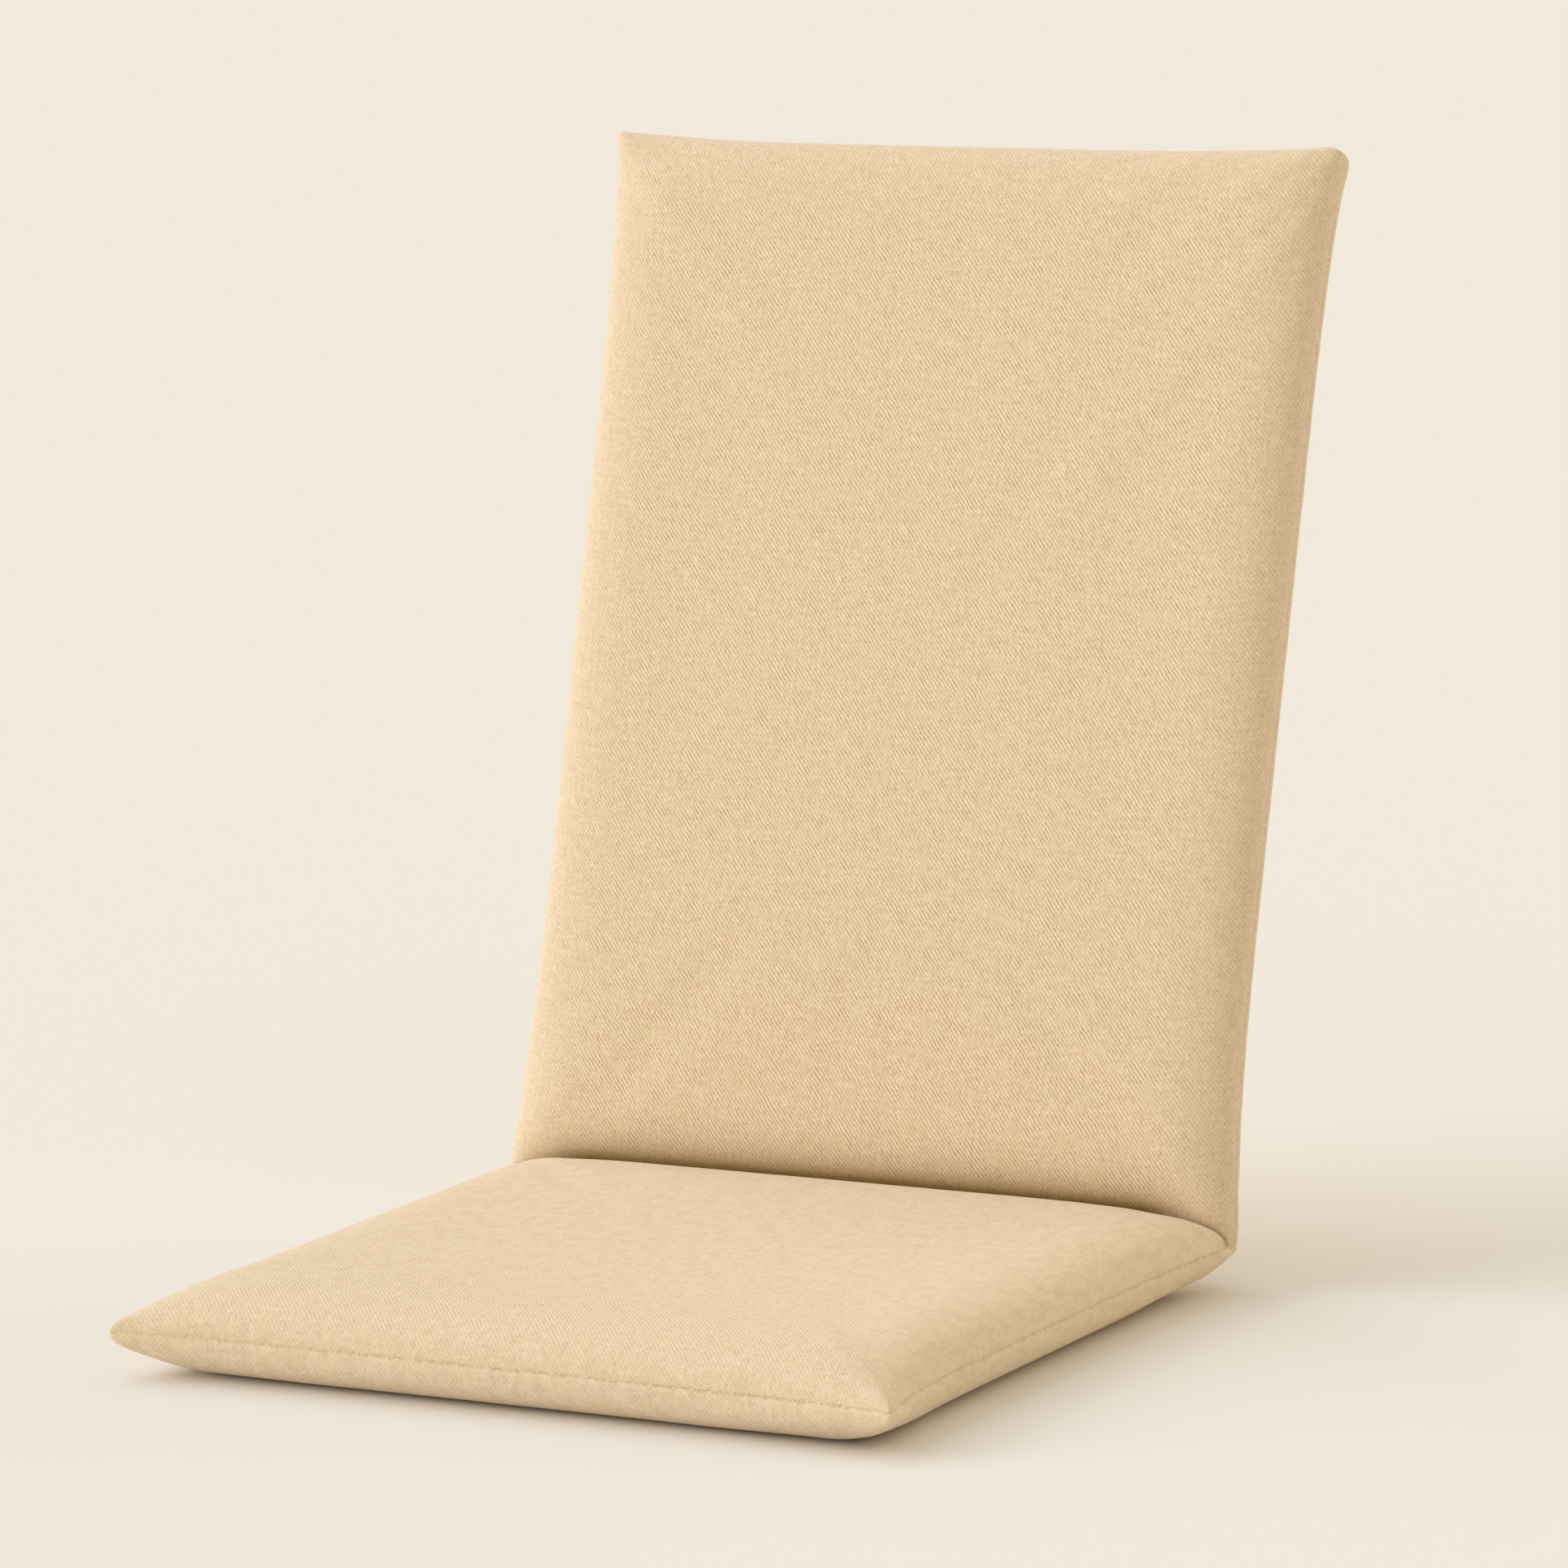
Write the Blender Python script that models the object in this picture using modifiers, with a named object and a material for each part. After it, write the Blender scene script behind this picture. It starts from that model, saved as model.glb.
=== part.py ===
"""Seat and back chair cushion: one filled solid in two sections, leaning open along a sewn fold.

Metres, +Z up. The seat section lies flat towards -Y and the back section rises and leans towards +Y.
A front panel and a rear panel meet in one plain seam that runs round both sections at half thickness.
"""

import math
from collections import namedtuple

import bmesh
import bpy
from mathutils import Matrix, Vector

# Sizes of the sewn cushion, seam to seam.
WIDTH = 0.500
SEAT_DEPTH = 0.488
BACK_HEIGHT = 0.677
LEAN = math.radians(14.7)  # of the back section, from upright

# Each pad's fullness: how far its panels stand off the seam's plane.
SEAT_UP = 0.0245
SEAT_DOWN = 0.0290
SEAT_REST = 0.0274  # the underside is pressed flat here
BACK_FRONT = 0.0241
BACK_REAR = 0.0242
BACK_REST = 0.0232  # the rear is pressed flat here
CROWN = 0.10  # share added to the middle of each front face

# The roll at the edges: a quarter of a superellipse.
EDGE_ROLL = 0.053
FOLD_ROLL = 0.033
ROLL_POWER = 2.58

# Corners: the panels lie closer together there, and the plan is slightly rounded.
FREE_CORNER_THIN = 0.18
FOLD_CORNER_THIN = 0.25
CORNER_REACH = 0.034
CORNER_RADIUS = 0.008

# The filling draws the seams in between the corners.
DRAW_POWER = 5.3

# The seam is sunk between the two panels' lips, and the fold is stitched down to a thin channel.
SEAM_SUNK = 0.0012
LIP_RISE = 0.0016
CHANNEL_HALF = 0.0013
FOLD_GAP = 0.0004  # from the plane where the two pads press together

# Lines of the cage, as distances inward from a seam and away from the fold.
EDGE_LINES = (SEAM_SUNK, 0.0002, 0.0018, 0.009, 0.024, 0.050)
FOLD_LINES = (0.004, 0.014, 0.019, 0.030, 0.060)
LINES_ACROSS = 4
SMOOTHING = 1

COVER_COLOUR = (0.781, 0.607, 0.381, 1.0)
COVER_ROUGHNESS = 0.90

# Each section's length, how far its seams are drawn in, its fullness, and its evenly spaced rows.
# The bias moves the sides' draw towards the fold (above zero) or the free end (below zero).
Section = namedtuple("Section", "length side_draw bias end_draw up down rest rows")
SEAT = Section(SEAT_DEPTH, 0.0114, -0.22, 0.0085, SEAT_UP, SEAT_DOWN, SEAT_REST, 4)
BACK = Section(BACK_HEIGHT, 0.0085, 0.21, 0.0068, BACK_FRONT, BACK_REAR, BACK_REST, 6)
Row = namedtuple("Row", "section along")


def between(start, end, count):
    """Evenly spaced values that lie strictly between two others."""
    step = (end - start) / (count + 1)
    return [start + step * (index + 1) for index in range(count)]


def column_lines():
    """Distances from the left seam to each line of the cage that runs along the cushion."""
    left = list(EDGE_LINES)
    right = [WIDTH - inset for inset in reversed(EDGE_LINES)]
    return left + between(left[-1], right[0], LINES_ACROSS) + right


def section_rows(section):
    """Rows of one section, from beside the fold to its free end."""
    near = list(FOLD_LINES)
    far = [section.length - inset for inset in reversed(EDGE_LINES)]
    return [Row(section, along) for along in near + between(near[-1], far[0], section.rows) + far]


def row_lines():
    """Rows of the cage from the front seam of the seat, over the fold, to the top seam of the back."""
    return section_rows(SEAT)[::-1] + [Row(SEAT, 0.0)] + section_rows(BACK)


def roll(distance, reach):
    """Share of the full height at this distance from a seam: none at it and all past the reach."""
    left = 1.0 - min(max(distance / reach, 0.0), 1.0)
    return (1.0 - left**ROLL_POWER) ** (1.0 / ROLL_POWER)


def thinned(side, end, share):
    """Share of the height that is left near a corner."""
    return 1.0 - share * math.exp(-(side**2 + end**2) / (2 * CORNER_REACH**2))


def pad_height(section, side, along, front):
    """Height of one panel off the seam's plane, always positive."""
    end = max(section.length - along, 0.0)
    height = section.up if front else section.down
    height *= roll(side, EDGE_ROLL) * roll(end, EDGE_ROLL) * roll(along, FOLD_ROLL)
    height *= thinned(side, end, FREE_CORNER_THIN) * thinned(side, along, FOLD_CORNER_THIN)
    across = 1.0 - min(side / (WIDTH / 2), 1.0)
    if front:
        middle = 2.0 * along / section.length - 1.0
        height *= 1.0 + CROWN * (1.0 - across**2) * (1.0 - middle**2)
        pressed = math.tan((math.pi / 2 + LEAN) / 2) * (along - FOLD_GAP)
        return max(min(height, pressed), LIP_RISE)
    return max(min(height, section.rest), LIP_RISE)


def plan(section, across, along):
    """Place on the seam's plane, with the sides and the free end drawn in and the corners rounded."""
    half = WIDTH / 2
    share_across = across / half
    share_along = along / section.length
    waist = 1.0 - abs(2 * share_along - 1) ** DRAW_POWER
    waist *= 1.0 + section.bias * (1 - 2 * share_along)
    x = share_across * (half - section.side_draw * waist)
    t = share_along * (section.length - section.end_draw * (1 - abs(share_across) ** DRAW_POWER))
    side = min(max((abs(x) - half + CORNER_RADIUS) / CORNER_RADIUS, 0.0), 1.0)
    end = min(max((t - section.length + CORNER_RADIUS) / CORNER_RADIUS, 0.0), 1.0)
    x -= math.copysign(CORNER_RADIUS * side * (1 - math.sqrt(1 - end**2 / 2)), x)
    t -= CORNER_RADIUS * end * (1 - math.sqrt(1 - side**2 / 2))
    return x, t


def in_space(section, x, t, n):
    """World point of a place on a section's plane and a height off it, with the fold at the origin."""
    if section is SEAT:
        return Vector((x, -t, n))
    along = Vector((0.0, math.sin(LEAN), math.cos(LEAN)))
    off = Vector((0.0, -math.cos(LEAN), math.sin(LEAN)))
    return Vector((x, 0.0, 0.0)) + along * t + off * n


def cage_point(column, row, last_column, last_row, front):
    """World point of one vertex of the cage."""
    across = COLUMNS[column] - WIDTH / 2
    section, along = ROWS[row]
    x, t = plan(section, across, along)
    if column in (0, last_column) or row in (0, last_row):
        return in_space(section, x, t, 0.0)
    sign = 1 if front else -1
    if along == 0.0:
        bisector = math.pi / 2 + (math.pi / 2 - LEAN) / 2
        reach = sign * CHANNEL_HALF
        return Vector((x, math.cos(bisector) * reach, math.sin(bisector) * reach))
    side = WIDTH / 2 - abs(across)
    return in_space(section, x, t, sign * pad_height(section, side, along, front))


COLUMNS = column_lines()
ROWS = row_lines()


def cushion_cage():
    """Two panels of one grid each, bent to the two sections and joined all round at the seam."""
    cage = bmesh.new()
    last_column = len(COLUMNS) - 1
    last_row = len(ROWS) - 1
    fold_row = [row.along for row in ROWS].index(0.0)
    seam = set()
    fold = set()
    for front in (True, False):
        made = bmesh.ops.create_grid(cage, x_segments=last_column, y_segments=last_row, size=1.0)
        for vertex in made["verts"]:
            column = round((vertex.co.x + 1) / 2 * last_column)
            row = round((vertex.co.y + 1) / 2 * last_row)
            vertex.co = cage_point(column, row, last_column, last_row, front)
            if column in (0, last_column) or row in (0, last_row):
                seam.add(vertex)
            if row == fold_row:
                fold.add(vertex)
    crease = cage.edges.layers.float.new("crease_edge")
    for edge in cage.edges:
        if set(edge.verts) <= seam or set(edge.verts) <= fold:
            edge[crease] = 1.0
    bmesh.ops.remove_doubles(cage, verts=list(seam), dist=0.00001)
    bmesh.ops.recalc_face_normals(cage, faces=cage.faces)
    return cage


def cover_material():
    """Cream twill cover with a dry, matt face."""
    material = bpy.data.materials.new("cream_twill_cover")
    material.use_nodes = True
    shader = material.node_tree.nodes["Principled BSDF"]
    shader.inputs["Base Color"].default_value = COVER_COLOUR
    shader.inputs["Roughness"].default_value = COVER_ROUGHNESS
    shader.inputs["Metallic"].default_value = 0.0
    return material


def stand_on_ground(obj):
    """Moves the mesh so that its box stands on Z = 0 and is centred on the Z axis."""
    bpy.context.view_layer.update()
    evaluated = obj.evaluated_get(bpy.context.evaluated_depsgraph_get())
    places = [vertex.co.copy() for vertex in evaluated.to_mesh().vertices]
    evaluated.to_mesh_clear()
    low = Vector([min(place[axis] for place in places) for axis in range(3)])
    high = Vector([max(place[axis] for place in places) for axis in range(3)])
    middle = (low + high) / 2
    obj.data.transform(Matrix.Translation((-middle.x, -middle.y, -low.z)))


def build():
    for obj in list(bpy.data.objects):
        bpy.data.objects.remove(obj, do_unlink=True)
    collection = bpy.data.collections.new("seat_and_back_cushion")
    bpy.context.scene.collection.children.link(collection)
    mesh = bpy.data.meshes.new("cushion")
    cage = cushion_cage()
    cage.to_mesh(mesh)
    cage.free()
    cushion = bpy.data.objects.new("cushion", mesh)
    collection.objects.link(cushion)
    mesh.materials.append(cover_material())
    mesh.shade_smooth()
    softened = cushion.modifiers.new("softened", "SUBSURF")
    softened.levels = SMOOTHING
    softened.render_levels = SMOOTHING
    stand_on_ground(cushion)


build()
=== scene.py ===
"""Seat and back chair cushion: the sewn twill cover around its filling, on a pale studio floor."""

import math

import bpy
import numpy as np
from mathutils import Matrix, Vector


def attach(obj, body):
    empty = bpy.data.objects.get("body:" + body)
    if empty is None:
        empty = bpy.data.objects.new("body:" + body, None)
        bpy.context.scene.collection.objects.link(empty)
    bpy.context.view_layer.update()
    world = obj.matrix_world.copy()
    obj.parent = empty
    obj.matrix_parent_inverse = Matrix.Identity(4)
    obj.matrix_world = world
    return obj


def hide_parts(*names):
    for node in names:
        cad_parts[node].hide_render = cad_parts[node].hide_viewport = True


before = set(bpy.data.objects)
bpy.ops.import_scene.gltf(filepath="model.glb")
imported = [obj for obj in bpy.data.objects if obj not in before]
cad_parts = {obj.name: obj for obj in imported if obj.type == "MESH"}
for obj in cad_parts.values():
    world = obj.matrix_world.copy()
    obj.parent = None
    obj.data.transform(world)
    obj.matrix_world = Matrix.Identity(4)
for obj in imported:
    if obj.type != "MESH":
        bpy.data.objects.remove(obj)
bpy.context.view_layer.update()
scene = bpy.context.scene


# The camera stands to the front right, a little above the seat, with a long lens that keeps the
# sides of the cushion nearly parallel. Its turn, height and lens are those that bring the sewn
# edges to their places in the photograph.
CAMERA_TURN = math.radians(26.178)
CAMERA_RISE = math.radians(8.290)
CAMERA_ROLL = math.radians(-0.378)
CAMERA_DISTANCE = 4.27448
CAMERA_TARGET = Vector((0.07701, -0.11396, 0.33548))
SENSOR_MM = 36.0
LENS_MM = 4.7241 * SENSOR_MM

toward_eye = Vector((
    math.sin(CAMERA_TURN) * math.cos(CAMERA_RISE),
    -math.cos(CAMERA_TURN) * math.cos(CAMERA_RISE),
    math.sin(CAMERA_RISE),
))
level = Vector((0, 0, 1)).cross(toward_eye).normalized()
upright = toward_eye.cross(level)
right = level * math.cos(CAMERA_ROLL) + upright * math.sin(CAMERA_ROLL)
up = upright * math.cos(CAMERA_ROLL) - level * math.sin(CAMERA_ROLL)
camera = bpy.data.objects.new("camera", bpy.data.cameras.new("camera"))
camera.data.sensor_width = SENSOR_MM
camera.data.lens = LENS_MM
camera.data.clip_end = 200.0
camera.matrix_world = (
    Matrix.Translation(CAMERA_TARGET + toward_eye * CAMERA_DISTANCE)
    @ Matrix((right, up, toward_eye)).transposed().to_4x4()
)
scene.collection.objects.link(camera)
scene.camera = camera


# The cover: a front panel and a rear panel of cream twill, each one length for both sections.
# They are sewn together right round at half thickness, and stitched through along the fold, so
# that the filling makes two pads, which press together in front of the fold.
WIDTH = 0.500
SEAT_DEPTH = 0.488
BACK_HEIGHT = 0.6775
LEAN = math.radians(14.73)
FOLD_PLACE = (0.1507, 0.0274)  # Y and Z of the fold

# A row of sizes for each section: its length, how far the sides and the free end are drawn in, and
# which way along the section that draw leans; the radius of its corner on the sitter's right and on
# the left; how far the panels stand off the seam's plane, where the rear one is pressed flat, and
# how softly the pads meet; how far the corner on the sitter's right is pulled out, across and along;
# and where each panel's roll at the fold starts, how far it reaches, and its power.
PADS = {
    "seat": dict(length=SEAT_DEPTH, side=0.01144, bias=-0.219, end=0.00853, corner=(0.004, 0.004),
                 front=0.0245, rear=0.0290, rest=0.0274, round=0.001, pulled=(0.0, 0.0),
                 fold={"front": (0.0, 0.0325, 2.578), "rear": (0.0, 0.0332, 2.578)}),
    "back": dict(length=BACK_HEIGHT, side=0.00849, bias=0.208, end=0.00683, corner=(0.004, 0.014),
                 front=0.0241, rear=0.0242, rest=0.0236, round=0.005, pulled=(0.0012, 0.0013),
                 fold={"front": (0.003, 0.0500, 2.0), "rear": (0.0, 0.0332, 2.578)}),
}
EDGE_ROLL = 0.0528  # how far in from a seam the cloth rolls before it is level
ROLL_POWER = 2.578
DRAW_POWER = 5.298
CROWN = 0.08  # share of the height that the middle of a pad stands out further
PULL_REACH = 0.014
ROUNDING_GROWS = 0.012  # distance from the fold over which the pads' softness where they meet grows
FREE_CORNER = (0.181, 0.0347)  # share of the height lost at a corner, and how far in it reaches
FOLD_CORNER = {"seat": {"front": (0.255, 0.0320), "rear": (0.255, 0.0320)},
               "back": {"front": (0.255, 0.0320), "rear": (0.12, 0.0320)}}
# The roll at the fold again, as it is beside the side seams, and how far in from them it is so.
FOLD_END_ROLL = {"seat": {"front": (0.0, 0.0300, 2.578), "rear": (0.0, 0.0332, 2.578)},
                 "back": {"front": (0.0, 0.0300, 2.578), "rear": (0.0, 0.0160, 3.0)}}
FOLD_END_REACH = 0.030
# At a free corner the cloth stands out fuller: what is added to the roll's power at the corner on
# the sitter's right and on the left, and how far in it reaches.
FULL_CORNER = {"seat": {"front": (0.45, 0.45, 0.008), "rear": (0.45, 0.45, 0.008)},
               "back": {"front": (1.5, 0.0, 0.014), "rear": (2.5, 2.5, 0.022)}}
# By the fold the top of the seat is squarer on the sitter's left: the side's roll is shorter, over a
# distance from the fold, and its corner loses more height and reaches further in.
SQUARE_ROLL = 0.0150
SQUARE_ALONG = 0.035
SQUARE_CORNER = (0.045, 0.0040)
# Under that end of the seat the rear panel is slack: by this share of its height, this far in from
# the side, and most of all at this distance from the fold, with this spread.
SLACK_SHARE = 0.10
SLACK_IN = 0.05
SLACK_MIDDLE = 0.06
SLACK_SPREAD = 0.045
CHANNEL_HALF = 0.0012  # half the thickness of the cushion where it is stitched through
FOLD_GAP = 0.0003  # from the fold to where the pads start to press together
SEAM_SUNK = 0.0010
# How far the ends of the fold are drawn in, over what distance along the seam, and over what
# distance in across the front panel and the rear one. Behind, the cloth bulges beside them.
FOLD_END_DRAW = 0.0050
DRAW_ALONG = 0.010
DRAW_IN_FRONT = 0.02
DRAW_IN_REAR = 0.0004
FOLD_END_BULGE = 0.0080
BULGE_RISE = 0.02
BULGE_REACH = 0.016
CELL = 0.0085  # width of the grid's cells away from the seams

# Heights of the grid's lines beside a seam, as shares of the full height, then their distances from
# it, and the distances of the lines beside the fold.
EDGE_SHARES = np.array([0, 0.04, 0.10, 0.20, 0.33, 0.46, 0.59, 0.70, 0.80, 0.88, 0.94, 0.98])
EDGE_LINES = EDGE_ROLL * (1 - (1 - EDGE_SHARES**ROLL_POWER) ** (1 / ROLL_POWER))
FOLD_LINES = np.array([
    0.0025, 0.006, 0.010, 0.014, 0.0175, 0.020, 0.023, 0.027, 0.032, 0.038, 0.046,
])


def lines_between(start, end):
    """Evenly spaced lines from start to end, leaving out both, about one cell apart."""
    return np.linspace(start, end, round((end - start) / CELL) + 1)[1:-1]


def roll(distance, reach, power=ROLL_POWER):
    """Share of full height at a distance from a seam: a quarter of a superellipse, level beyond the
    reach: (1 - (1 - distance / reach)^power)^(1 / power)."""
    left = 1 - np.clip(distance / reach, 0, 1)
    return (1 - left**power) ** (1 / power)


def thinned(side, end, corner):
    """Share of height left near a corner: one less a bell curve of the distance to it."""
    share, reach = corner
    return 1 - share * np.exp(-(side**2 + end**2) / (2 * reach**2))


def fold_end_draw(panel, side, along):
    """How far the cloth is drawn in at the two ends of the fold: a bell curve along the seam, times a
    fall across the panel that is slow in front, and quick behind, where the cloth bulges."""
    if panel == "front":
        fall = np.clip(1 - side / DRAW_IN_FRONT, 0, 1) ** 2
    else:
        fall = np.exp(-side / DRAW_IN_REAR)
    return FOLD_END_DRAW * np.exp(-(along / DRAW_ALONG) ** 2) * fall


def pad_surface(name, panel, across, along):
    """Points of one panel of one section, for grids of the distance across from the middle and the
    distance along from the fold. The plan is the flat cut with its sides and end drawn in by a power
    curve, its corners rounded, and one pulled out by a bell curve. The height is the product of the
    rolls at the seams and the fold, whose power a bell curve raises at the free corners, and of the
    corner terms. In front it is crowned, and then it is the lower of itself and the plane where the
    two pads press together, with the change rounded off. Behind it stops at the height that is
    pressed flat."""
    pad = PADS[name]
    half = WIDTH / 2
    share_across = across / half
    share_along = along / pad["length"]
    waist = 1 - np.abs(2 * share_along - 1) ** DRAW_POWER
    waist = waist * (1 + pad["bias"] * (1 - 2 * share_along))
    x = share_across * (half - pad["side"] * waist)
    t = share_along * (pad["length"] - pad["end"] * (1 - np.abs(share_across) ** DRAW_POWER))
    radius = np.where(across < 0, *pad["corner"])
    beyond_side = np.clip((np.abs(x) - half) / radius + 1, 0, 1)
    beyond_end = np.clip((t - pad["length"]) / radius + 1, 0, 1)
    x = x - np.sign(x) * radius * beyond_side * (1 - np.sqrt(1 - beyond_end**2 / 2))
    t = t - radius * beyond_end * (1 - np.sqrt(1 - beyond_side**2 / 2))

    side = half - np.abs(across)
    end = pad["length"] - along
    x = x - np.sign(x) * fold_end_draw(panel, side, along)
    pull = (across < 0) * np.exp(-(side**2 + end**2) / PULL_REACH**2)
    x = x - pad["pulled"][0] * pull
    t = t - pad["pulled"][1] * pull
    *added, within = FULL_CORNER[name][panel]
    fuller = np.where(across < 0, *added) * np.exp(-(side**2 + end**2) / (2 * within**2))
    power = ROLL_POWER + fuller
    side_reach = EDGE_ROLL
    fold_corner = FOLD_CORNER[name][panel]
    sitter_left = across > 0
    if (name, panel) == ("seat", "front"):
        side_reach = EDGE_ROLL - SQUARE_ROLL * sitter_left * np.exp(-(along / SQUARE_ALONG) ** 2)
        fold_corner = [
            size + more * sitter_left for size, more in zip(fold_corner, SQUARE_CORNER)
        ]
    height = pad[panel] * roll(side, side_reach, power) * roll(end, EDGE_ROLL, power)
    tighter = np.exp(-(side / FOLD_END_REACH) ** 2)
    start, reach, power = (
        middle + (at_end - middle) * tighter
        for middle, at_end in zip(pad["fold"][panel], FOLD_END_ROLL[name][panel])
    )
    height = height * roll(along - start, reach, power)
    height = height * thinned(side, end, FREE_CORNER) * thinned(side, along, fold_corner)
    if (name, panel) == ("seat", "rear"):
        slack = np.clip(1 - side / SLACK_IN, 0, 1)
        slack = slack * np.exp(-(((along - SLACK_MIDDLE) / SLACK_SPREAD) ** 2))
        height = height * (1 - SLACK_SHARE * sitter_left * slack)
    if panel == "front":
        height = height * (1 + CROWN * (1 - share_across**2) * (1 - (2 * share_along - 1) ** 2))
        pressed = np.tan((math.pi / 2 + LEAN) / 2) * np.maximum(along - FOLD_GAP, 0)
        blend = pad["round"] * np.clip(along / ROUNDING_GROWS, 0, 1)
        n = (height + pressed - np.sqrt((height - pressed)**2 + blend**2)) / 2
        n = np.maximum(n, np.minimum(CHANNEL_HALF / 2, along))
    else:
        n = -np.minimum(height, pad["rest"])
    if name == "seat":
        return np.stack([x, -t, n], axis=-1)
    y = t * math.sin(LEAN) - n * math.cos(LEAN)
    z = t * math.cos(LEAN) + n * math.sin(LEAN)
    return np.stack([x, y, z], axis=-1)


columns = np.concatenate([
    EDGE_LINES, lines_between(EDGE_LINES[-1], WIDTH - EDGE_LINES[-1]), WIDTH - EDGE_LINES[::-1],
]) - WIDTH / 2
section_lines = {
    name: np.concatenate([
        FOLD_LINES,
        lines_between(FOLD_LINES[-1], pad["length"] - EDGE_LINES[-1]),
        pad["length"] - EDGE_LINES[::-1],
    ])
    for name, pad in PADS.items()
}
fold_row = len(section_lines["seat"])


def panel_surface(panel):
    """Points of a whole panel, in rows from the seat's front seam, over the fold, to the back's top
    seam: the two sections' points, and between them the fold's, which stand off the stitching along
    the line that halves the angle of the fold."""
    seat = pad_surface("seat", panel, *np.meshgrid(columns, section_lines["seat"][::-1]))
    back = pad_surface("back", panel, *np.meshgrid(columns, section_lines["back"]))
    bisector = math.pi / 2 + (math.pi / 2 - LEAN) / 2
    side = WIDTH / 2 - np.abs(columns)
    bulge = FOLD_END_BULGE * roll(side, BULGE_RISE) * np.exp(-(side / BULGE_REACH) ** 2)
    reach = np.full_like(columns, CHANNEL_HALF) if panel == "front" else -CHANNEL_HALF - bulge
    x = columns - np.sign(columns) * fold_end_draw(panel, side, 0.0)
    fold = np.stack([x, math.cos(bisector) * reach, math.sin(bisector) * reach], axis=-1)
    return np.concatenate([seat, fold[None], back]) + np.array([0, *FOLD_PLACE])


front = panel_surface("front")
rear = panel_surface("rear")
seam_line = np.concatenate([front[..., :1], (front[..., 1:] + rear[..., 1:]) / 2], axis=-1)
border = np.zeros(front.shape[:2], bool)
border[[0, -1], :] = True
border[:, [0, -1]] = True


def arc_lengths(points):
    """Cloth coordinates in metres: distance across from the middle column and along from the fold row,
    each added up over the surface."""
    across = np.linalg.norm(np.diff(points, axis=1), axis=2)
    across = np.concatenate([np.zeros((len(points), 1)), np.cumsum(across, axis=1)], axis=1)
    across -= across[:, across.shape[1] // 2][:, None]
    along = np.linalg.norm(np.diff(points, axis=0), axis=2)
    along = np.concatenate([np.zeros((1, points.shape[1])), np.cumsum(along, axis=0)])
    along -= along[fold_row][None]
    return np.stack([across, along], axis=-1)


cloth_front = arc_lengths(front)
cloth_rear = arc_lengths(rear)

# The seam is sunk a little between the panels, towards the middle of the pad.
inward = np.zeros_like(front)
inward[:, 0] += [1, 0, 0]
inward[:, -1] += [-1, 0, 0]
inward[0, :] += [0, 1, 0]
inward[-1, :] += [0, -math.sin(LEAN), -math.cos(LEAN)]
front[border] = (seam_line + SEAM_SUNK * inward)[border]

rows, cols = border.shape
front_index = np.arange(rows * cols).reshape(rows, cols)
rear_index = front_index.copy()
rear_index[~border] = rows * cols + np.arange((~border).sum())
points = np.concatenate([front.reshape(-1, 3), rear[~border]])


def quads(index):
    """Corner numbers of the cells of a grid, counter-clockwise as rows and columns go up."""
    corners = [index[:-1, :-1], index[:-1, 1:], index[1:, 1:], index[1:, :-1]]
    return np.stack(corners, axis=-1).reshape(-1, 4)


front_quads = quads(front_index)
rear_quads = quads(rear_index)[:, ::-1]
cover_mesh = bpy.data.meshes.new("cover")
cover_mesh.from_pydata(points, [], np.concatenate([front_quads, rear_quads]).tolist())
cloth_map = cover_mesh.uv_layers.new(name="cloth")
loops_front = cloth_front.reshape(-1, 2)[front_quads].reshape(-1, 2)
loops_rear = cloth_rear.reshape(-1, 2)[quads(front_index)[:, ::-1]].reshape(-1, 2)
cloth_places = np.concatenate([loops_front, loops_rear]).astype(np.float32)
cloth_map.data.foreach_set("uv", cloth_places.ravel())


def paint(name, front_values, rear_values):
    """Stores a value at each point, from one grid of values for each panel."""
    values = np.concatenate([front_values.ravel(), rear_values[~border]]).astype(np.float32)
    cover_mesh.attributes.new(name, "FLOAT", "POINT").data.foreach_set("value", values)


# How strongly the weave shows: fully on the back, less on the rolls at the edges, where the cloth is
# pulled smooth, and least on the seat, which use has flattened. The wear sets in beside the fold and
# fades towards the front roll. The underside of the seat gets the worn colour evenly, and there it is
# painted light that lifts the shade under the seat.
WEAR_SETS_IN = 0.03
WEAR_END = 0.98  # share of the seat's depth
WEAR_FADES = 0.20
SEAT_WEAVE = 0.95
WEAVE_WORN_OFF = 0.20
EDGE_WEAVE = 0.85
WEAVE_GROWS = 0.055
EDGE_TWILL = 0.35
TWILL_GROWS = 0.060
LEAST_WORN = 0.15
WORN_BY_SITTING = 0.25
# Painted light: the share of the paler worn colour spread evenly over the underside of the seat.
UNDERSIDE_PAINTED_LIGHT = 0.40

from_fold = np.concatenate([section_lines["seat"][::-1], [0], section_lines["back"]])
column_grid, row_grid = np.meshgrid(columns, from_fold)
to_side = WIDTH / 2 - np.abs(column_grid)
on_seat = np.arange(rows)[:, None] < fold_row
to_end = np.where(on_seat, SEAT_DEPTH, BACK_HEIGHT) - row_grid
to_seam = np.minimum(to_side, to_end)
sat_on = np.clip(row_grid / WEAR_SETS_IN, 0, 1)
sat_on = sat_on * np.clip((WEAR_END * SEAT_DEPTH - row_grid) / WEAR_FADES, 0, 1)
sat_on = sat_on**2 * (3 - 2 * sat_on)
back_weave = EDGE_WEAVE + (1 - EDGE_WEAVE) * np.clip(to_seam / WEAVE_GROWS, 0, 1)
weave_shows = np.where(on_seat, SEAT_WEAVE - WEAVE_WORN_OFF * sat_on, back_weave)
paint("weave_shows", weave_shows, weave_shows)
twill_shows = EDGE_TWILL + (1 - EDGE_TWILL) * np.clip(to_seam / TWILL_GROWS, 0, 1)
paint("twill_shows", twill_shows, twill_shows)
wear_and_painted_light = np.where(on_seat, LEAST_WORN + WORN_BY_SITTING * sat_on, 0.0)
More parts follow.
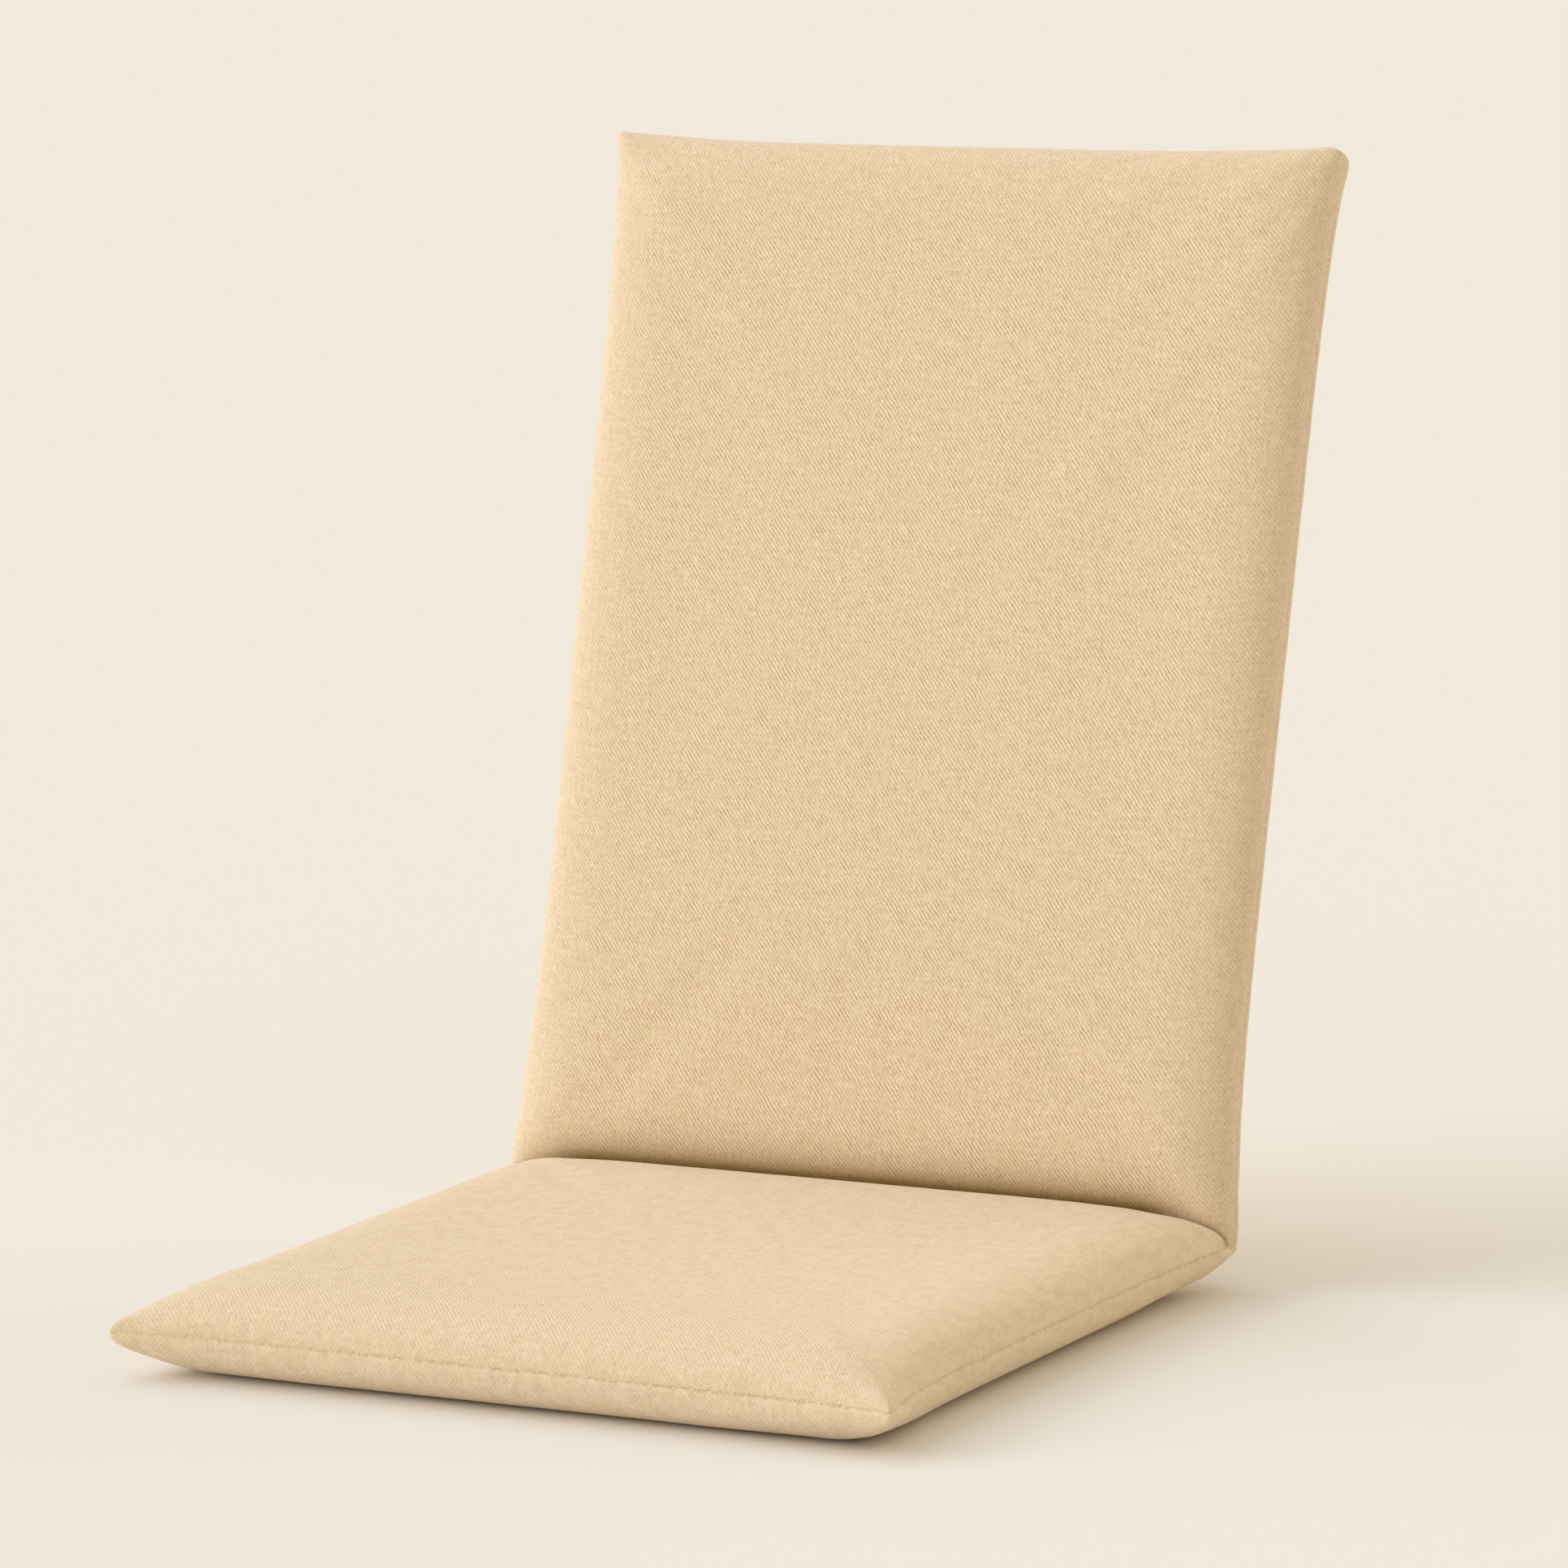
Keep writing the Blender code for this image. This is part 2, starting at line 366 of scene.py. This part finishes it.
paint("wear_and_painted_light", wear_and_painted_light, UNDERSIDE_PAINTED_LIGHT * (on_seat & (row_grid > 0)))

# Painted shade in the crease above the fold: 1 where the pads part, falling to 0 clear of it, and
# fading out beside the ends of the fold, where the crease is open to the side. The pads part at a
# share of the height of the seat's crest, and the painted shade thins out upwards, quicker at the
# ends. On the seat it is painted just in front of the fold.
PARTING = 0.725
CREASE_ENDS = 0.010
CREASE_GROWS = 0.053
SHADE_HEIGHT = 0.0045
SHADE_ADDED = 0.0048  # to that height, clear of the ends
SHADE_GROWS = 0.080
SHADE_ON_SEAT = 0.014
unpainted = np.zeros(border.shape)
crest = front[:fold_row, :, 2].max(axis=0) - FOLD_PLACE[1]
above = np.maximum(row_grid - PARTING * crest, 0)
fade = np.clip((to_side - CREASE_ENDS) / CREASE_GROWS, 0, 1)
deeper = np.clip(to_side / SHADE_GROWS, 0, 1)
thinning = np.exp(-above / (SHADE_HEIGHT + SHADE_ADDED * deeper))
crease_shade = thinning * fade**2 * (3 - 2 * fade)
crease_shade = np.where(on_seat, np.clip(1 - row_grid / SHADE_ON_SEAT, 0, 1), crease_shade)
crease_shade[border] = 0.0
paint("crease_shade", crease_shade, unpainted)

# Painted shade in the stitches of the seam, standing in for the shade in their dimples. It is stored
# as the "stitched" value, and is less towards the sitter's right, where the corner of the cloth is
# pulled out and the stitches sink less.
LEAST_SEAM_SHADE = 0.14
SEAM_SHADE_ADDED = 0.22
SEAM_SHADE_GROWS = 0.20
seam_shade_depth = LEAST_SEAM_SHADE + SEAM_SHADE_ADDED * np.clip((column_grid + WIDTH / 2) / SEAM_SHADE_GROWS, 0, 1)
paint("stitched", seam_shade_depth * border, unpainted)
cover_mesh.shade_smooth()
cover = bpy.data.objects.new("cover", cover_mesh)
scene.collection.objects.link(cover)

# The cover settles over its filling in a cloth simulation: pressure from inside and a little spare
# cloth, held along the seam and the fold. The fine part of its movement is kept, which puckers the
# cloth beside the stitching, and the pads keep the outline of their filling.
SETTLE_FRAMES = 20
PRESSURE = 4.0
SPARE_CLOTH = 0.005
MOST_MOVE = 0.0006  # the furthest that a point may move
COARSE_ROUNDS = 8  # of smoothing, which leave the coarse part of the movement


def smoothed(grid, rounds):
    """A grid of points, each averaged with its neighbours in both directions with weights of 1/4, 1/2
    and 1/4, round after round, with its edges held."""
    for _ in range(rounds):
        inner = (grid[:-2] + 2 * grid[1:-1] + grid[2:]) / 4
        grid = np.concatenate([grid[:1], inner, grid[-1:]])
        inner = (grid[:, :-2] + 2 * grid[:, 1:-1] + grid[:, 2:]) / 4
        grid = np.concatenate([grid[:, :1], inner, grid[:, -1:]], axis=1)
    return grid


trial = bpy.data.objects.new("trial", cover_mesh.copy())
scene.collection.objects.link(trial)
held = trial.vertex_groups.new(name="held")
stitched = border.copy()
stitched[fold_row] = True
stitched_points = np.unique(np.concatenate([front_index[stitched], rear_index[stitched]]))
held.add(stitched_points.tolist(), 1.0, "REPLACE")
cloth_sim = trial.modifiers.new("settling", "CLOTH")
cloth_sim.point_cache.frame_end = SETTLE_FRAMES
cloth_sim.collision_settings.use_collision = False
settings = cloth_sim.settings
settings.quality = 6
settings.mass = 0.3
settings.tension_stiffness = 20.0
settings.compression_stiffness = 20.0
settings.shear_stiffness = 8.0
settings.bending_stiffness = 0.3
settings.use_pressure = True
settings.uniform_pressure_force = PRESSURE
settings.shrink_min = -SPARE_CLOTH
settings.vertex_group_mass = "held"
settings.effector_weights.gravity = 0.0
for frame_number in range(1, SETTLE_FRAMES + 1):
    scene.frame_set(frame_number)
settled_mesh = trial.evaluated_get(bpy.context.evaluated_depsgraph_get()).to_mesh()
settled = np.empty(len(points) * 3, np.float32)
settled_mesh.vertices.foreach_get("co", settled)
move = settled.reshape(-1, 3) - points
scene.frame_set(1)
bpy.data.objects.remove(trial)
for index in (front_index, rear_index):
    fine = move[index] - smoothed(move[index], COARSE_ROUNDS)
    size = np.linalg.norm(fine, axis=2, keepdims=True)
    fine = fine * MOST_MOVE / (size + MOST_MOVE)
    points[index[1:-1, 1:-1]] += fine[1:-1, 1:-1]
points[:, 2] = np.maximum(points[:, 2], 0)
cover_mesh.vertices.foreach_set("co", points.ravel().astype(np.float32))
cover_mesh.update()

softened = cover.modifiers.new("softened", "SUBSURF")
softened.levels = 1
softened.render_levels = 1


def srgb(hex_colour):
    """Linear colour of an sRGB hex value, with the sRGB curve's own numbers."""
    parts = [int(hex_colour[i:i + 2], 16) / 255 for i in (1, 3, 5)]
    linear = [p / 12.92 if p <= 0.04045 else ((p + 0.055) / 1.055) ** 2.4 for p in parts]
    return (*linear, 1.0)


def add_node(tree, kind, inputs=(), **settings):
    """Adds a node of this kind with its settings, and gives each named input a value or a link."""
    node = tree.nodes.new(kind)
    for name, value in settings.items():
        setattr(node, name, value)
    for name, value in dict(inputs).items():
        if isinstance(value, bpy.types.NodeSocket):
            tree.links.new(value, node.inputs[name])
        else:
            node.inputs[name].default_value = value
    return node


def weighted(tree, parts):
    """Sum of patterns about a middle of 0.5, each with its own weight."""
    total = 0.5 - 0.5 * sum(weight for _, weight in parts)
    for value, weight in parts:
        step = add_node(tree, "ShaderNodeMath", {
            0: value, 1: weight, 2: total,
        }, operation="MULTIPLY_ADD")
        total = step.outputs["Value"]
    return total


def streaks(tree, vector, stretch, scale):
    """Uneven streaks, drawn out along the axis whose stretch is the smaller."""
    drawn = add_node(tree, "ShaderNodeMapping", {"Vector": vector, "Scale": stretch})
    noise = add_node(tree, "ShaderNodeTexNoise", {
        "Vector": drawn.outputs["Vector"], "Scale": scale, "Detail": 2.0, "Roughness": 0.6,
    }, noise_dimensions="2D")
    return noise.outputs["Fac"]


# Cotton and polyester twill, woven and piece dyed cream: fine diagonal lines that run down to the
# right, pale on top of each yarn and browner between them, with uneven threads, a dry face and a
# little fuzz. The real lines are 2.05 mm apart. They are drawn 2.2 mm apart, the finest that shows.
TWILL_PITCH = 0.0022
TWILL_ANGLE = math.radians(39.2)
ONE_WAVE = 0.314159  # scale at which a Wave texture repeats once a metre
MIDDLE_GREY = (0.5, 0.5, 0.5, 1.0)
TOP_OF_YARN = "#FAE7C9"
BETWEEN_YARNS = "#C3AA84"
WARM_PATCH = "#E2CFA0"
LIFTED_FIBRES = "#F2DEBF"
FLATTENED_FACE = "#D7C2A4"
# The dark brown multiplied in as painted shade, in the crease and in the seam's stitch dimples.
PAINTED_SHADE = "#978248"

twill = bpy.data.materials.new("cream_twill_woven")
twill.use_nodes = True
tree = twill.node_tree
shader = tree.nodes["Principled BSDF"]
cloth = add_node(tree, "ShaderNodeUVMap", uv_map="cloth").outputs["UV"]
turning = add_node(tree, "ShaderNodeMapping", {"Vector": cloth, "Rotation": (0, 0, -TWILL_ANGLE)})
turned = turning.outputs["Vector"]
slip = add_node(tree, "ShaderNodeTexNoise", {
    "Vector": cloth, "Scale": 130.0, "Detail": 1.0, "Roughness": 0.5,
}, noise_dimensions="2D")
wavy = add_node(tree, "ShaderNodeMixRGB", {
    "Fac": 0.0012, "Color1": turned, "Color2": slip.outputs["Color"],
}, blend_type="ADD")
lines = add_node(tree, "ShaderNodeTexWave", {
    "Vector": wavy.outputs["Color"], "Scale": ONE_WAVE / TWILL_PITCH, "Distortion": 0.0,
}, wave_type="BANDS", bands_direction="X", wave_profile="SIN")
fading = add_node(tree, "ShaderNodeTexNoise", {
    "Vector": cloth, "Scale": 90.0, "Detail": 2.0, "Roughness": 0.6,
}, noise_dimensions="2D")
most_twill = add_node(tree, "ShaderNodeAttribute", attribute_name="twill_shows")
strength = add_node(tree, "ShaderNodeMapRange", {
    "Value": fading.outputs["Fac"], "From Min": 0.30, "From Max": 0.62,
    "To Min": 0.25, "To Max": most_twill.outputs["Fac"],
})
broken = add_node(tree, "ShaderNodeMixRGB", {
    "Fac": strength.outputs["Result"], "Color1": MIDDLE_GREY, "Color2": lines.outputs["Fac"],
})
# The weave and its weights: the broken twill lines, unevenness drawn out along them and across
# them, and slubs in the threads that run up the cloth and in those that cross it. A streak's scale
# is in grains to the metre.
full_weave = weighted(tree, [
    (broken.outputs["Color"], 0.78),
    (streaks(tree, turned, (1.0, 0.30, 1.0), 800.0), 0.26),
    (streaks(tree, turned, (0.30, 1.0, 1.0), 900.0), 0.80),
    (streaks(tree, cloth, (1.0, 0.20, 1.0), 460.0), 0.42),
    (streaks(tree, cloth, (0.20, 1.0, 1.0), 340.0), 0.32),
])
weave_share = add_node(tree, "ShaderNodeAttribute", attribute_name="weave_shows")
weave = add_node(tree, "ShaderNodeMixRGB", {
    "Fac": weave_share.outputs["Fac"], "Color1": MIDDLE_GREY, "Color2": full_weave,
})
yarn_colour = add_node(tree, "ShaderNodeMixRGB", {
    "Fac": weave.outputs["Color"], "Color1": srgb(BETWEEN_YARNS), "Color2": srgb(TOP_OF_YARN),
})
patches = add_node(tree, "ShaderNodeTexNoise", {
    "Vector": cloth, "Scale": 70.0, "Detail": 4.0, "Roughness": 0.7,
}, noise_dimensions="2D")
patch_share = add_node(tree, "ShaderNodeMapRange", {
    "Value": patches.outputs["Fac"], "From Min": 0.50, "From Max": 0.75,
    "To Min": 0.0, "To Max": 0.4,
})
cover_colour = add_node(tree, "ShaderNodeMixRGB", {
    "Fac": patch_share.outputs["Result"], "Color1": yarn_colour.outputs["Color"],
    "Color2": srgb(WARM_PATCH),
})
# Where the seat is worn, its face is mottled: paler where fibres are lifted, duller where they are
# pressed flat, in patches drawn out along the seat, the way a sitter slides.
slid = add_node(tree, "ShaderNodeMapping", {"Vector": cloth, "Scale": (1.0, 0.60, 1.0)})
fuzz = add_node(tree, "ShaderNodeTexNoise", {
    "Vector": slid.outputs["Vector"], "Scale": 130.0, "Detail": 5.0, "Roughness": 0.80,
}, noise_dimensions="2D")
lifted = add_node(tree, "ShaderNodeMapRange", {
    "Value": fuzz.outputs["Fac"], "From Min": 0.38, "From Max": 0.62,
})
mottled = add_node(tree, "ShaderNodeMixRGB", {
    "Fac": lifted.outputs["Result"], "Color1": srgb(FLATTENED_FACE), "Color2": srgb(LIFTED_FIBRES),
})
# On the whole the mottle is paler than the plain cloth. On the underside of the seat it is painted
# light, lifting the shade there.
wear_and_light_share = add_node(tree, "ShaderNodeAttribute", attribute_name="wear_and_painted_light")
worn_and_lit_colour = add_node(tree, "ShaderNodeMixRGB", {
    "Fac": wear_and_light_share.outputs["Fac"], "Color1": cover_colour.outputs["Color"],
    "Color2": mottled.outputs["Color"],
})
# Painted shade: deep in the crease the cloth is never in the light, so its colour is multiplied
# browner and darker there. This stands in for that shadow.
crease_shade_node = add_node(tree, "ShaderNodeAttribute", attribute_name="crease_shade")
shaded = add_node(tree, "ShaderNodeMixRGB", {
    "Fac": crease_shade_node.outputs["Fac"], "Color1": worn_and_lit_colour.outputs["Color"],
    "Color2": srgb(PAINTED_SHADE),
}, blend_type="MULTIPLY")
# The stitches of the seam, about 3 mm long, dimple the cloth unevenly, so the seam is a broken line.
# The shade in the dimples is painted: the colour is multiplied darker there, and between them the seam
# is no darker than the cloth. Noise of that grain stands in for the dimples.
seam_shade = add_node(tree, "ShaderNodeAttribute", attribute_name="stitched")
dimples = add_node(tree, "ShaderNodeTexNoise", {
    "Vector": cloth, "Scale": 300.0, "Detail": 1.0, "Roughness": 0.5,
}, noise_dimensions="2D")
dimple_shade = add_node(tree, "ShaderNodeMapRange", {
    "Value": dimples.outputs["Fac"], "From Min": 0.42, "From Max": 0.58,
    "To Min": 0.0, "To Max": seam_shade.outputs["Fac"],
})
seamed = add_node(tree, "ShaderNodeMixRGB", {
    "Fac": dimple_shade.outputs["Result"], "Color1": shaded.outputs["Color"],
    "Color2": srgb(PAINTED_SHADE),
}, blend_type="MULTIPLY")
relief = add_node(tree, "ShaderNodeBump", {
    "Height": weave.outputs["Color"], "Strength": 0.6, "Distance": 0.0004,
})
tree.links.new(seamed.outputs["Color"], shader.inputs["Base Color"])
tree.links.new(relief.outputs["Normal"], shader.inputs["Normal"])
shader.inputs["Roughness"].default_value = 0.92
shader.inputs["IOR"].default_value = 1.45
shader.inputs["Specular IOR Level"].default_value = 0.25
shader.inputs["Sheen Weight"].default_value = 0.28
shader.inputs["Sheen Roughness"].default_value = 0.5
shader.inputs["Sheen Tint"].default_value = srgb("#FFF5E6")
cover_mesh.materials.append(twill)

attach(cover, "root")
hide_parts("cushion")


# The studio: a wide floor of matt white paper, a warm even surround, a broad soft light from the
# left front and another from high on the left, and a warm one from behind on the right. The rolls
# on the right of the cushion stay a little darker.
FLOOR_HALF = 30.0
LIGHT_SOFTNESS = math.radians(50)
SURROUND_COLOUR = (1.0, 0.92, 0.79, 1.0)
SURROUND_STRENGTH = 0.70
floor_mesh = bpy.data.meshes.new("floor")
floor_corners = FLOOR_HALF * np.array([(-1, -1, 0), (1, -1, 0), (1, 1, 0), (-1, 1, 0)])
floor_mesh.from_pydata(floor_corners, [], [(0, 1, 2, 3)])
floor = bpy.data.objects.new("floor", floor_mesh)
scene.collection.objects.link(floor)
paper = bpy.data.materials.new("matt_white_paper")
paper.use_nodes = True
paper_shader = paper.node_tree.nodes["Principled BSDF"]
paper_shader.inputs["Base Color"].default_value = srgb("#EBE8E2")
paper_shader.inputs["Roughness"].default_value = 1.0
paper_shader.inputs["Specular IOR Level"].default_value = 0.0
floor_mesh.materials.append(paper)

# Energy, the way to each light as an angle round from the front and a height, and its colour.
for name, energy, turn, rise, colour in (
    ("key", 1.72, -58, 15, (0.97, 1.0, 1.10)),
    ("left_fill", 0.74, -105, 50, (0.92, 1.0, 1.16)),
    ("rim", 0.58, 155, 15, (1.0, 0.81, 0.46)),
):
    light = bpy.data.objects.new(name, bpy.data.lights.new(name, "SUN"))
    light.data.energy = energy
    light.data.color = colour
    light.data.angle = LIGHT_SOFTNESS
    turn, rise = math.radians(turn), math.radians(rise)
    toward = Vector((
        math.sin(turn) * math.cos(rise),
        -math.cos(turn) * math.cos(rise),
        math.sin(rise),
    ))
    light.matrix_world = toward.to_track_quat("Z", "Y").to_matrix().to_4x4()
    scene.collection.objects.link(light)
surround = bpy.data.worlds.new("surround")
surround.use_nodes = True
sky = surround.node_tree.nodes["Background"]
sky.inputs["Color"].default_value = SURROUND_COLOUR
sky.inputs["Strength"].default_value = SURROUND_STRENGTH
scene.world = surround
scene.view_settings.view_transform = "Standard"
